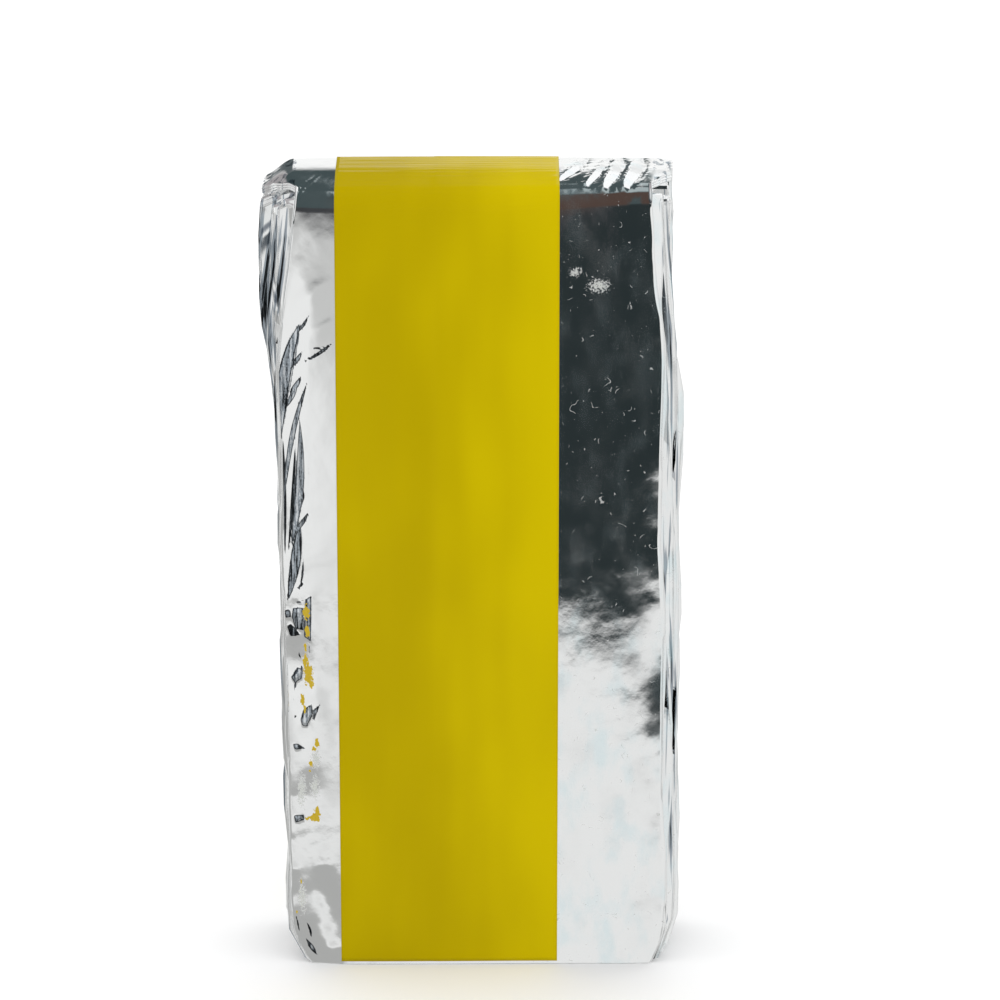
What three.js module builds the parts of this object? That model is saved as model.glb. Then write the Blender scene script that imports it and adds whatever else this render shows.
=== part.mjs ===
// A folded emergency sleeping bag: thin metallised film folded into an upright bundle, with its seam tape.
// Millimetres, +Z up. X runs across the bundle, the front faces -Y, and the folds stand on z = 0.
import * as THREE from "three";

// The bundle
const BUNDLE_HEIGHT = 179;
const HALF_WIDTH = 46;
const LAYER_COUNT = 12;
const LAYER_PITCH = 2.42;

// One layer is the bag's ten panels pressed together
const FILM_THICKNESS = 2;
const COVER_GAP = 0.45;
const SHOULDER_RADIUS = 3;
const HALF_DEPTH = ((LAYER_COUNT - 1) * LAYER_PITCH + FILM_THICKNESS) / 2;

// The bottom folds are pressed flat by this much where they stand
const FOOT_PRESS = 0.5;

// The seam tape
const TAPE_WIDTH = 48;
const TAPE_CENTRE = -5.4;
const TAPE_THICKNESS = 1;
const TAPE_GAP = 0.4;
const TAPE_FOOT_GAP = 0.8;

// Steps along the sheet
const COVER_STEPS = 24;
const BACK_STEPS = 16;
const INNER_STEPS = 6;
const TOP_STEPS = 11;
const CORNER_STEPS = 4;
const TOP_TURN_STEPS = 4;
const FOOT_TURN_STEPS = 6;

// Lines across the sheet, as shares of its reach to the left and right, closer together near the edges
const FILM_LINES = [-1, -0.95, -0.88, -0.78, -0.64, -0.46, -0.24, 0, 0.24, 0.46, 0.64, 0.8, 0.91, 0.97, 1];
const TAPE_LINES = [-1, -0.6, -0.2, 0.2, 0.6, 1];

// How far each layer reaches from the middle of the bundle, at the shoulder, the waist and the foot, and
// by how much the turn into the next layer falls short of the others. Layer 0 is the cover at the front
// and layer 11 the one at the back.
const LAYERS = [
  { left: [38.4, 41.8, 40.4], right: [38.6, 41.0, 42.4], wave: 0.3, phase: 0.0, short: 0 },
  { left: [39.6, 42.0, 41.2], right: [39.8, 42.4, 43.6], wave: 0.5, phase: 1.7, short: 0.2 },
  { left: [41.4, 41.6, 41.0], right: [41.2, 43.6, 44.6], wave: 0.6, phase: 3.9, short: 0 },
  { left: [42.8, 42.2, 40.6], right: [42.2, 44.6, 45.4], wave: 0.4, phase: 5.1, short: 1.8 },
  { left: [44.2, 41.8, 41.2], right: [42.6, 45.2, 44.6], wave: 0.6, phase: 0.8, short: 0.9 },
  { left: [45.6, 42.2, 40.4], right: [42.0, 44.4, 45.6], wave: 0.3, phase: 2.6, short: 0 },
  { left: [46.0, 41.8, 40.8], right: [42.8, 45.2, 45.0], wave: 0.3, phase: 4.4, short: 0 },
  { left: [44.8, 42.3, 40.2], right: [41.8, 44.2, 45.2], wave: 0.5, phase: 1.2, short: 1.3 },
  { left: [45.4, 41.6, 40.6], right: [42.6, 44.8, 44.0], wave: 0.4, phase: 3.3, short: 0.6 },
  { left: [44.6, 42.0, 39.8], right: [42.2, 43.8, 44.6], wave: 0.5, phase: 5.6, short: 0.3 },
  { left: [45.7, 41.6, 40.4], right: [42.8, 44.2, 43.6], wave: 0.4, phase: 2.2, short: 0 },
  { left: [45.9, 41.8, 40.2], right: [43.2, 43.8, 43.2], wave: 0.3, phase: 0.4, short: 0 },
];

// Heights of the shoulder and waist sizes. The cover flares out higher up than the layers deep in the stack.
const SHOULDER_HEIGHT = { cover: 176, deep: 152 };
const WAIST_HEIGHT = { cover: 140, deep: 118 };
const DEEP_LAYER = 5;
const WAVE_LENGTH = 64;

// The corners are drawn in: height of the rounded stretch, and how far it comes in at each side
const FOOT_CORNER = { height: 11, left: 4.4, right: 2.8 };
const TOP_CORNER = { height: 9, left: 0.7, right: 0.3 };

// The stack swells in the middle and is thinner at its rim
const RIM_DEPTH = 0.93;
const SWELL = 0.12;
const SIDE_ROUNDNESS = 2.4;
const END_ROUNDNESS = 3;

// The top slopes down to the front shoulder, less so towards its right end, and to both corners
const FRONT_DROP = 2.1;
const FRONT_DROP_RUN = 17;
const LEVEL_SHARE = 0.95;
const LEVEL_FROM = 0;
const LEVEL_TO = 42;
const CORNER_DROP = { left: 3.8, right: 0.6 };
const CORNER_DROP_RUN = 7.5;

// Left of the tape the stack thins out towards its edge by this share of its depth
const LEAN_START = 29.2;
const LEFT_LEAN = 0.08;

// Beyond the cover's edges the front of the stack slopes back by this much for each millimetre
const FLANK_SLOPE = { left: 0.2, right: 0.36 };

// A slow sway that all layers share
const SWAY = 0.7;
const SWAY_WAVES = 1.3;

// Main creases raised on the front: from and to as x and z, half width and height
const CREASES = [
  { from: [-37, 168], to: [-31, 124], width: 4.0, rise: 0.7 },
  { from: [-41, 120], to: [-31, 148], width: 3.0, rise: 0.9 },
  { from: [-40, 84], to: [-34, 118], width: 3.0, rise: 0.7 },
  { from: [-39, 40], to: [-34, 66], width: 3.5, rise: 0.6 },
  { from: [-38, 6], to: [-30, 24], width: 3.5, rise: 0.8 },
  { from: [34, 170], to: [36, 60], width: 3.0, rise: 0.6 },
  { from: [38, 8], to: [30, 30], width: 3.5, rise: 0.6 },
];

const FILM = new THREE.MeshStandardMaterial({ color: 0xb4b8ba, roughness: 0.16, metalness: 1 });
const TAPE = new THREE.MeshStandardMaterial({ color: 0xc9b400, roughness: 0.22, metalness: 0 });

const lerp = THREE.MathUtils.lerp;
const smoothstep = THREE.MathUtils.smoothstep;

// Middle of a layer before the stack settles
function layerY(layer) {
  return (layer - (LAYER_COUNT - 1) / 2) * LAYER_PITCH;
}

// Reach of one layer's edge at a height, from its three sizes
function layerReach(layer, side, z) {
  const row = LAYERS[layer];
  const [shoulder, waist, foot] = row[side];
  const depth = Math.min(1, layer / DEEP_LAYER);
  const waistZ = lerp(WAIST_HEIGHT.cover, WAIST_HEIGHT.deep, depth);
  const shoulderZ = lerp(SHOULDER_HEIGHT.cover, SHOULDER_HEIGHT.deep, depth);
  const base =
    z > waistZ
      ? lerp(waist, shoulder, smoothstep(z, waistZ, shoulderZ))
      : lerp(foot, waist, smoothstep(z, 0, waistZ));
  const footShare = Math.max(0, 1 - z / FOOT_CORNER.height);
  const topShare = Math.max(0, 1 - (BUNDLE_HEIGHT - z) / TOP_CORNER.height);
  const corners = FOOT_CORNER[side] * footShare ** 2 + TOP_CORNER[side] * topShare ** 2;
  const turn = side === "left" ? 0 : Math.PI / 2;
  const wave = row.wave * Math.sin((2 * Math.PI * z) / WAVE_LENGTH + row.phase + turn);
  return base + wave - corners;
}

// Steps of the sheet's middle line, each with its direction along the sheet and the layers it lies between
class SheetPath {
  constructor(y, z, dy, dz, layer) {
    this.steps = [{ y, z, dy, dz, from: layer, to: layer, share: 0 }];
  }

  straight(y, z, count, from, to = from) {
    const start = this.steps[this.steps.length - 1];
    for (let i = 1; i <= count; i++) {
      const share = i / count;
      this.steps.push({ ...start, y: lerp(start.y, y, share), z: lerp(start.z, z, share), from, to, share });
    }
  }

  // An arc about a centre, where a positive sweep is anticlockwise seen from +X
  arc(cy, cz, radius, startDegrees, sweepDegrees, count, from, to) {
    const turn = Math.sign(sweepDegrees);
    for (let i = 1; i <= count; i++) {
      const share = i / count;
      const angle = THREE.MathUtils.degToRad(startDegrees + sweepDegrees * share);
      this.steps.push({
        y: cy + radius * Math.cos(angle),
        z: cz + radius * Math.sin(angle),
        dy: -turn * Math.sin(angle),
        dz: turn * Math.cos(angle),
        from,
        to,
        share,
      });
    }
  }
}

// From the back's foot over the top and down the front, at a distance outside the cover's middle line
function coverPath(path, outside, footZ) {
  const front = 0;
  const back = LAYER_COUNT - 1;
  const cornerZ = BUNDLE_HEIGHT - FILM_THICKNESS / 2 - SHOULDER_RADIUS;
  const radius = SHOULDER_RADIUS + outside;
  path.straight(layerY(back) + outside, cornerZ, BACK_STEPS, back);
  path.arc(layerY(back) - SHOULDER_RADIUS, cornerZ, radius, 0, 90, CORNER_STEPS, back, back);
  path.straight(layerY(front) + SHOULDER_RADIUS, cornerZ + radius, TOP_STEPS, back, front);
  path.arc(layerY(front) + SHOULDER_RADIUS, cornerZ, radius, 90, 90, CORNER_STEPS, front, front);
  path.straight(layerY(front) - outside, footZ, COVER_STEPS, front);
  return path.steps;
}

// The film goes up the first inner layer, back and forth through the stack, then over it as the cover
function filmPath() {
  const turnRadius = LAYER_PITCH / 2;
  const outerRadius = turnRadius + FILM_THICKNESS / 2;
  const topTurnZ = BUNDLE_HEIGHT - FILM_THICKNESS - COVER_GAP - outerRadius;
  const footTurnZ = outerRadius - FOOT_PRESS;
  const path = new SheetPath(layerY(1), 0, 0, 1, 1);
  for (let layer = 1; layer < LAYER_COUNT - 1; layer++) {
    const goesUp = layer % 2 === 1;
    const middleY = layerY(layer) + turnRadius;
    const turnZ = goesUp ? topTurnZ - LAYERS[layer].short : footTurnZ + LAYERS[layer].short;
    path.straight(layerY(layer), turnZ, INNER_STEPS, layer);
    if (goesUp) path.arc(middleY, turnZ, turnRadius, 180, -180, TOP_TURN_STEPS, layer, layer + 1);
    else path.arc(middleY, turnZ, turnRadius, 180, 180, FOOT_TURN_STEPS, layer, layer + 1);
  }
  return coverPath(path, 0, 0);
}

function tapePath() {
  const outside = FILM_THICKNESS / 2 + TAPE_GAP + TAPE_THICKNESS / 2;
  const path = new SheetPath(layerY(LAYER_COUNT - 1) + outside, TAPE_FOOT_GAP, 0, 1, LAYER_COUNT - 1);
  return coverPath(path, outside, TAPE_FOOT_GAP);
}

// Height of the front's creases at a place, each fading out towards its ends
function creaseRise(x, z) {
  let rise = 0;
  for (const crease of CREASES) {
    const [x0, z0] = crease.from;
    const runX = crease.to[0] - x0;
    const runZ = crease.to[1] - z0;
    const length = Math.hypot(runX, runZ);
    const along = ((x - x0) * runX + (z - z0) * runZ) / length ** 2;
    const aside = ((x - x0) * runZ - (z - z0) * runX) / length;
    const fade = Math.sin(Math.PI * THREE.MathUtils.clamp(along, 0, 1));
    rise += crease.rise * fade * Math.exp(-((aside / crease.width) ** 2));
  }
  return rise;
}

// The ideal stack settles: it swells in the middle, slopes down at the front and corners, and sways
function settle(x, y, z) {
  const across = x / HALF_WIDTH;
  const up = z / BUNDLE_HEIGHT;
  const side = x < 0 ? "left" : "right";
  const fullness = (1 - Math.abs(across) ** SIDE_ROUNDNESS) * (1 - Math.abs(2 * up - 1) ** END_ROUNDNESS);
  const fromCorner = HALF_WIDTH - Math.abs(x);
  const fromRidge = Math.max(0, FRONT_DROP_RUN - HALF_DEPTH - y) / FRONT_DROP_RUN;
  const level = 1 - LEVEL_SHARE * smoothstep(x, LEVEL_FROM, LEVEL_TO);
  const drop =
    FRONT_DROP * level * fromRidge ** 2 +
    CORNER_DROP[side] * (1 - smoothstep(fromCorner, 0, CORNER_DROP_RUN));
  const sway = SWAY * Math.sin(2 * Math.PI * SWAY_WAVES * up + across) * (1 - Math.abs(across) ** 2);
  const lean = (LEFT_LEAN * Math.max(0, -x - LEAN_START)) / (HALF_WIDTH - LEAN_START);
  const pastCover = Math.max(0, Math.abs(x) - layerReach(0, side, z));
  const slopeBack = (FLANK_SLOPE[side] * pastCover * (HALF_DEPTH - y)) / (2 * HALF_DEPTH);
  const settledY = y * (RIM_DEPTH + SWELL * fullness - lean) + sway + slopeBack;
  return [x, settledY, z * (1 - drop / BUNDLE_HEIGHT)];
}

// A flat box with the sheet's lines and steps, laid along a path and settled into its place
function foldedSheet(steps, lines, thickness, placeAcross, creasedFaces) {
  const lineCount = lines.length - 1;
  const stepCount = steps.length - 1;
  const geometry = new THREE.BoxGeometry(lineCount, 2, stepCount, lineCount, 1, stepCount);
  const position = geometry.attributes.position;
  for (let i = 0; i < position.count; i++) {
    const line = lines[Math.round(position.getX(i) + lineCount / 2)];
    const face = Math.sign(position.getY(i));
    const step = steps[Math.round(position.getZ(i) + stepCount / 2)];
    const offset = (face * thickness) / 2;
    const y = step.y + offset * step.dz;
    const z = Math.max(0, step.z - offset * step.dy);
    const x = placeAcross(step, line, z);
    const [settledX, settledY, settledZ] = settle(x, y, z);
    const frontShare = step.from === 0 && creasedFaces.includes(face) ? Math.max(0, -step.dz) : 0;
    const rise = frontShare * creaseRise(x, z);
    position.setXYZ(i, settledX, settledY - rise, settledZ);
  }
  geometry.computeVertexNormals();
  return geometry;
}

// The edge passes from layer to layer, and over the top the cover reaches as far as each layer below
function filmAcross(step, line, z) {
  const side = line < 0 ? "left" : "right";
  const layer = lerp(step.from, step.to, step.share);
  const first = Math.floor(layer);
  const second = Math.ceil(layer);
  return line * lerp(layerReach(first, side, z), layerReach(second, side, z), layer - first);
}

function tapeAcross(step, line) {
  return TAPE_CENTRE + (line * TAPE_WIDTH) / 2;
}

function namedMesh(name, geometry, material) {
  const mesh = new THREE.Mesh(geometry, material);
  mesh.name = name;
  return mesh;
}

const OUTER = 1;
const INNER = -1;
const bundle = new THREE.Group();
const foldedFilm = foldedSheet(filmPath(), FILM_LINES, FILM_THICKNESS, filmAcross, [OUTER]);
const foldedTape = foldedSheet(tapePath(), TAPE_LINES, TAPE_THICKNESS, tapeAcross, [OUTER, INNER]);
bundle.add(namedMesh("foil_bag", foldedFilm, FILM));
bundle.add(namedMesh("seam_tape", foldedTape, TAPE));

export default bundle;
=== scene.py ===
# A folded emergency sleeping bag of metallised film, standing upright, with its yellow seam tape.
import math

import bpy
import numpy as np
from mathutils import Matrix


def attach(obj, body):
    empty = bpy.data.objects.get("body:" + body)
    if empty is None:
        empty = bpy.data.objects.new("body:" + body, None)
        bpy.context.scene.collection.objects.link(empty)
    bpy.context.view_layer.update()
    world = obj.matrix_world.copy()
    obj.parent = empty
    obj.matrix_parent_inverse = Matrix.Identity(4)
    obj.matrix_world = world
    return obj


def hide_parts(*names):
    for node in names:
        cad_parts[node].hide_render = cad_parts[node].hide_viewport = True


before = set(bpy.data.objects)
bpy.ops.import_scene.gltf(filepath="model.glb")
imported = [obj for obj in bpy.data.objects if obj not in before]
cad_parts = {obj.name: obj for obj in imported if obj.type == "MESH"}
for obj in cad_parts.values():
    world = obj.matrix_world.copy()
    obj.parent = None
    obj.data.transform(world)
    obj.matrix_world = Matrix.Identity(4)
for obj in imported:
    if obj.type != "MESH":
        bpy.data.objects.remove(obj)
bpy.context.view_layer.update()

# Lengths below are in millimetres, and meshes are made in metres
MM = 0.001

# The bundle, as in the solids: X across, the front faces -Y, Z up
BUNDLE_HEIGHT = 179.0
HALF_WIDTH = 46.0
LAYER_COUNT = 12
LAYER_PITCH = 2.42
FILM_THICKNESS = 2.0
COVER_GAP = 0.45
SHOULDER_RADIUS = 3.0
HALF_DEPTH = ((LAYER_COUNT - 1) * LAYER_PITCH + FILM_THICKNESS) / 2
FOOT_PRESS = 0.5

# The seam tape
TAPE_WIDTH = 48.0
TAPE_CENTRE = -5.4
TAPE_THICKNESS = 0.14
TAPE_GAP = 0.05
TAPE_FOOT_GAP = 0.8
TAPE_STEPS = {"front_step": 1.0, "top_step": 0.5, "back_step": 2.0}

# How far each layer reaches left and right at the shoulder, waist and foot, the size and phase of its
# wave, and by how much its turn into the next layer falls short of the others
LAYER_COLUMNS = ("left", "right", "wave", "phase", "short")
LAYERS = [
    ((38.4, 41.8, 40.4), (38.6, 41.0, 42.4), 0.3, 0.0, 0.0),
    ((39.6, 42.0, 41.2), (39.8, 42.4, 43.6), 0.5, 1.7, 0.2),
    ((41.4, 41.6, 41.0), (41.2, 43.6, 44.6), 0.6, 3.9, 0.0),
    ((42.8, 42.2, 40.6), (42.2, 44.6, 45.4), 0.4, 5.1, 1.8),
    ((44.2, 41.8, 41.2), (42.6, 45.2, 44.6), 0.6, 0.8, 0.9),
    ((45.6, 42.2, 40.4), (42.0, 44.4, 45.6), 0.3, 2.6, 0.0),
    ((46.0, 41.8, 40.8), (42.8, 45.2, 45.0), 0.3, 4.4, 0.0),
    ((44.8, 42.3, 40.2), (41.8, 44.2, 45.2), 0.5, 1.2, 1.3),
    ((45.4, 41.6, 40.6), (42.6, 44.8, 44.0), 0.4, 3.3, 0.6),
    ((44.6, 42.0, 39.8), (42.2, 43.8, 44.6), 0.5, 5.6, 0.3),
    ((45.7, 41.6, 40.4), (42.8, 44.2, 43.6), 0.4, 2.2, 0.0),
    ((45.9, 41.8, 40.2), (43.2, 43.8, 43.2), 0.3, 0.4, 0.0),
]
ROWS = {name: np.array([row[i] for row in LAYERS]) for i, name in enumerate(LAYER_COLUMNS)}
# The cover flares out higher up than the layers deep in the stack
SHOULDER_HEIGHT = {"cover": 176.0, "deep": 152.0}
WAIST_HEIGHT = {"cover": 140.0, "deep": 118.0}
DEEP_LAYER = 5
WAVE_LENGTH = 64.0
FOOT_CORNER = {"height": 11.0, "left": 4.4, "right": 2.8}
TOP_CORNER = {"height": 9.0, "left": 0.7, "right": 0.3}
RIM_DEPTH = 0.93
SWELL = 0.12
SIDE_ROUNDNESS = 2.4
# Left of here the stack thins out towards its left edge by a share of its depth
LEAN_START = -29.2
LEFT_LEAN = 0.08
# Beyond the cover's edges the front of the stack slopes back
FLANK_SLOPE = {"left": 0.2, "right": 0.36}
END_ROUNDNESS = 3.0
FRONT_DROP = 2.1
FRONT_DROP_RUN = 17.0
# The front shoulder stays higher towards its right end
LEVEL_SHARE = 0.95
LEVEL_FROM = 0.0
LEVEL_TO = 42.0
CORNER_DROP = {"left": 3.8, "right": 0.6}
CORNER_DROP_RUN = 7.5
SWAY = 0.7
SWAY_WAVES = 1.3

# Steps along the sheet, in millimetres
FRONT_STEP = 0.48
TOP_STEP = 0.4
BACK_STEP = 2.0
INNER_STEP = 7.0
TURN_STEPS = 8

# Plies that show at each edge of a layer
PLY_COUNT = 3
PLY_GROOVE = 1.6
PLY_ROUND = 0.35
# The plies lie closer where the stack turns over at its top
PLY_CALM = {"share": 0.3, "from": 166.0, "to": 175.0}

# Uneven lines along the sheet: a seed, then the length and height of each wave
EDGE_WOBBLE = {
    "left": (11, [(61.0, 0.22), (29.0, 0.1)]),
    "right": (12, [(57.0, 0.22), (31.0, 0.1)]),
    "pinch": (13, [(83.0, 0.1), (37.0, 0.06)]),
    "shift": (14, [(71.0, 0.1), (33.0, 0.06)]),
}
PLY_SEEDS = {"left": 31, "right": 21}
PLY_WAVES = [(67.0, 0.3), (29.0, 0.15), (11.0, 0.05)]
# Each layer is thinner by its edges
EDGE_PINCH = 0.8
EDGE_PINCH_RUN = 7.0

# Lines across the outer face: fine near both edges, coarse beneath the tape
LEFT_FINE = 17.5
LEFT_STEP = 0.26
RIGHT_FINE = 24.6
RIGHT_STEP = 0.75
COARSE_LINES = 8
INNER_LINES = 10
TAPE_LINES = 61
# Points kept across a coarse layer: the outermost, then every tenth between two margins
RIM_POINTS = 2
KEPT_MARGIN = 8
KEPT_EVERY = 10


def lerp(a, b, share):
    return a + (b - a) * share


def smoothstep(value, low, high):
    share = np.clip((value - low) / (high - low), 0.0, 1.0)
    return share * share * (3.0 - 2.0 * share)


def wobble(along, seed, waves):
    """A smooth uneven line: sines of the given lengths and heights, with seeded phases."""
    phases = np.random.default_rng(seed).uniform(0.0, 2.0 * math.pi, len(waves))
    return sum(height * np.sin(2.0 * math.pi * along / length + phase)
               for (length, height), phase in zip(waves, phases))


def layer_y(layer):
    return (layer - (LAYER_COUNT - 1) / 2) * LAYER_PITCH


def one_layer_reach(layer, side, z):
    shoulder, waist, foot = np.moveaxis(ROWS[side][layer], -1, 0)
    depth = np.minimum(1.0, layer / DEEP_LAYER)
    waist_z = lerp(WAIST_HEIGHT["cover"], WAIST_HEIGHT["deep"], depth)
    shoulder_z = lerp(SHOULDER_HEIGHT["cover"], SHOULDER_HEIGHT["deep"], depth)
    above = lerp(waist, shoulder, smoothstep(z, waist_z, shoulder_z))
    below = lerp(foot, waist, smoothstep(z, 0.0, waist_z))
    base = np.where(z > waist_z, above, below)
    foot_share = np.maximum(0.0, 1.0 - z / FOOT_CORNER["height"])
    top_share = np.maximum(0.0, 1.0 - (BUNDLE_HEIGHT - z) / TOP_CORNER["height"])
    turn = 0.0 if side == "left" else math.pi / 2
    wave = ROWS["wave"][layer] * np.sin(2.0 * math.pi * z / WAVE_LENGTH + ROWS["phase"][layer] + turn)
    return base + wave - FOOT_CORNER[side] * foot_share**2 - TOP_CORNER[side] * top_share**2


def settle(x, y, z):
    """The ideal stack swells in its middle, slopes down at the front and corners, and sways."""
    across = x / HALF_WIDTH
    up = z / BUNDLE_HEIGHT
    full_across = 1 - np.minimum(1, np.abs(across)) ** SIDE_ROUNDNESS
    fullness = full_across * (1 - np.abs(2 * up - 1) ** END_ROUNDNESS)
    corner = np.where(x < 0, CORNER_DROP["left"], CORNER_DROP["right"])
    from_ridge = np.maximum(0.0, FRONT_DROP_RUN - HALF_DEPTH - y) / FRONT_DROP_RUN
    drop = FRONT_DROP * (1 - LEVEL_SHARE * smoothstep(x, LEVEL_FROM, LEVEL_TO)) * from_ridge**2
    drop = drop + corner * (1 - smoothstep(HALF_WIDTH - np.abs(x), 0.0, CORNER_DROP_RUN))
    sway = SWAY * np.sin(2 * math.pi * SWAY_WAVES * up + across) * (1 - across**2)
    lean = LEFT_LEAN * np.maximum(0.0, LEAN_START - x) / (HALF_WIDTH + LEAN_START)
    past_left = FLANK_SLOPE["left"] * np.maximum(0.0, -x - one_layer_reach(0, "left", z))
    past_right = FLANK_SLOPE["right"] * np.maximum(0.0, x - one_layer_reach(0, "right", z))
    flank = (past_left + past_right) * (HALF_DEPTH - y) / (2 * HALF_DEPTH)
    return x, y * (RIM_DEPTH + SWELL * fullness - lean) + sway + flank, z * (1 - drop / BUNDLE_HEIGHT)


class SheetPath:
    """Steps of the sheet's middle line: place, direction, the two layers it lies between and its share."""

    def __init__(self, y, z, dy, dz, layer):
        self.rows = [(y, z, dy, dz, layer, layer, 0.0)]

    def straight(self, y, z, step, start_layer, end_layer=None):
        y0, z0, dy, dz = self.rows[-1][:4]
        count = max(1, round(math.hypot(y - y0, z - z0) / step))
        end_layer = start_layer if end_layer is None else end_layer
        for i in range(1, count + 1):
            share = i / count
            self.rows.append((lerp(y0, y, share), lerp(z0, z, share), dy, dz, start_layer, end_layer, share))

    def arc(self, cy, cz, radius, start, sweep, count, start_layer, end_layer):
        turn = math.copysign(1.0, sweep)
        for i in range(1, count + 1):
            share = i / count
            angle = math.radians(start + sweep * share)
            self.rows.append((cy + radius * math.cos(angle), cz + radius * math.sin(angle),
                              -turn * math.sin(angle), turn * math.cos(angle), start_layer, end_layer, share))


def cover_path(path, outside, foot_z, front_step, top_step, back_step):
    """From the back's foot over the top and down the front, outside the cover's middle line."""
    front, back = 0, LAYER_COUNT - 1
    corner_z = BUNDLE_HEIGHT - FILM_THICKNESS / 2 - SHOULDER_RADIUS
    radius = SHOULDER_RADIUS + outside
    corner_steps = round(radius * math.pi / 2 / top_step)
    path.straight(layer_y(back) + outside, corner_z, back_step, back)
    path.arc(layer_y(back) - SHOULDER_RADIUS, corner_z, radius, 0, 90, corner_steps, back, back)
    path.rows[-1] = (*path.rows[-1][:2], -1.0, 0.0, *path.rows[-1][4:])
    path.straight(layer_y(front) + SHOULDER_RADIUS, corner_z + radius, top_step, back, front)
    path.arc(layer_y(front) + SHOULDER_RADIUS, corner_z, radius, 90, 90, corner_steps, front, front)
    path.rows[-1] = (*path.rows[-1][:2], 0.0, -1.0, *path.rows[-1][4:])
    path.straight(layer_y(front) - outside, foot_z, front_step, front)
    return columns(path)


def film_path():
    turn_radius = LAYER_PITCH / 2
    outer_radius = turn_radius + FILM_THICKNESS / 2
    top_turn = BUNDLE_HEIGHT - FILM_THICKNESS - COVER_GAP - outer_radius
    foot_turn = outer_radius - FOOT_PRESS
    path = SheetPath(layer_y(1), 0.0, 0.0, 1.0, 1)
    for layer in range(1, LAYER_COUNT - 1):
        goes_up = layer % 2 == 1
        short = LAYERS[layer][LAYER_COLUMNS.index("short")]
        turn_z = top_turn - short if goes_up else foot_turn + short
        sweep = -180 if goes_up else 180
        path.straight(layer_y(layer), turn_z, INNER_STEP, layer)
        path.arc(layer_y(layer) + turn_radius, turn_z, turn_radius, 180, sweep, TURN_STEPS, layer, layer + 1)
    return cover_path(path, 0.0, 0.0, FRONT_STEP, TOP_STEP, BACK_STEP)


def columns(path):
    """The path's rows as one array for each column, with the length along the path from its start."""
    rows = np.array(path.rows)
    names = ("y", "z", "dy", "dz", "from", "to", "share")
    steps = {name: rows[:, i] for i, name in enumerate(names)}
    steps["from"] = steps["from"].astype(int)
    steps["to"] = steps["to"].astype(int)
    steps["along"] = np.concatenate([[0.0], np.cumsum(np.hypot(np.diff(rows[:, 0]), np.diff(rows[:, 1])))])
    # Length up the cover from its front foot, and 0 on the layers inside
    on_cover = (steps["from"] == 0) | ((steps["from"] == LAYER_COUNT - 1) & (steps["to"] != LAYER_COUNT - 2))
    steps["cover"] = np.where(on_cover, steps["along"][-1] - steps["along"], -1.0)
    return steps


# Relief of the cover's outer face. Places are x and the length up the cover from its front foot, which is
# the height z on the front, then runs over the top and down the back.
# Soft creases and ridges: from, to, half width, height (below 0 for a trough)
SOFT_CREASES = [
    ((-36.5, 154.5), (-30.0, 161.0), 1.6, 0.07),
    ((-34.8, 147.5), (-29.0, 151.5), 1.3, 0.07),
    ((-37, 168), (-33, 140), 3.0, 0.12),
    ((-36, 40), (-33, 66), 2.5, 0.12),
    ((-33.5, 24), (-31.0, 4), 2.5, -0.25),
    ((34, 170), (36, 60), 3.0, 0.12),
    ((24, 172), (28, 120), 5.0, -0.08),
]

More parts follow.
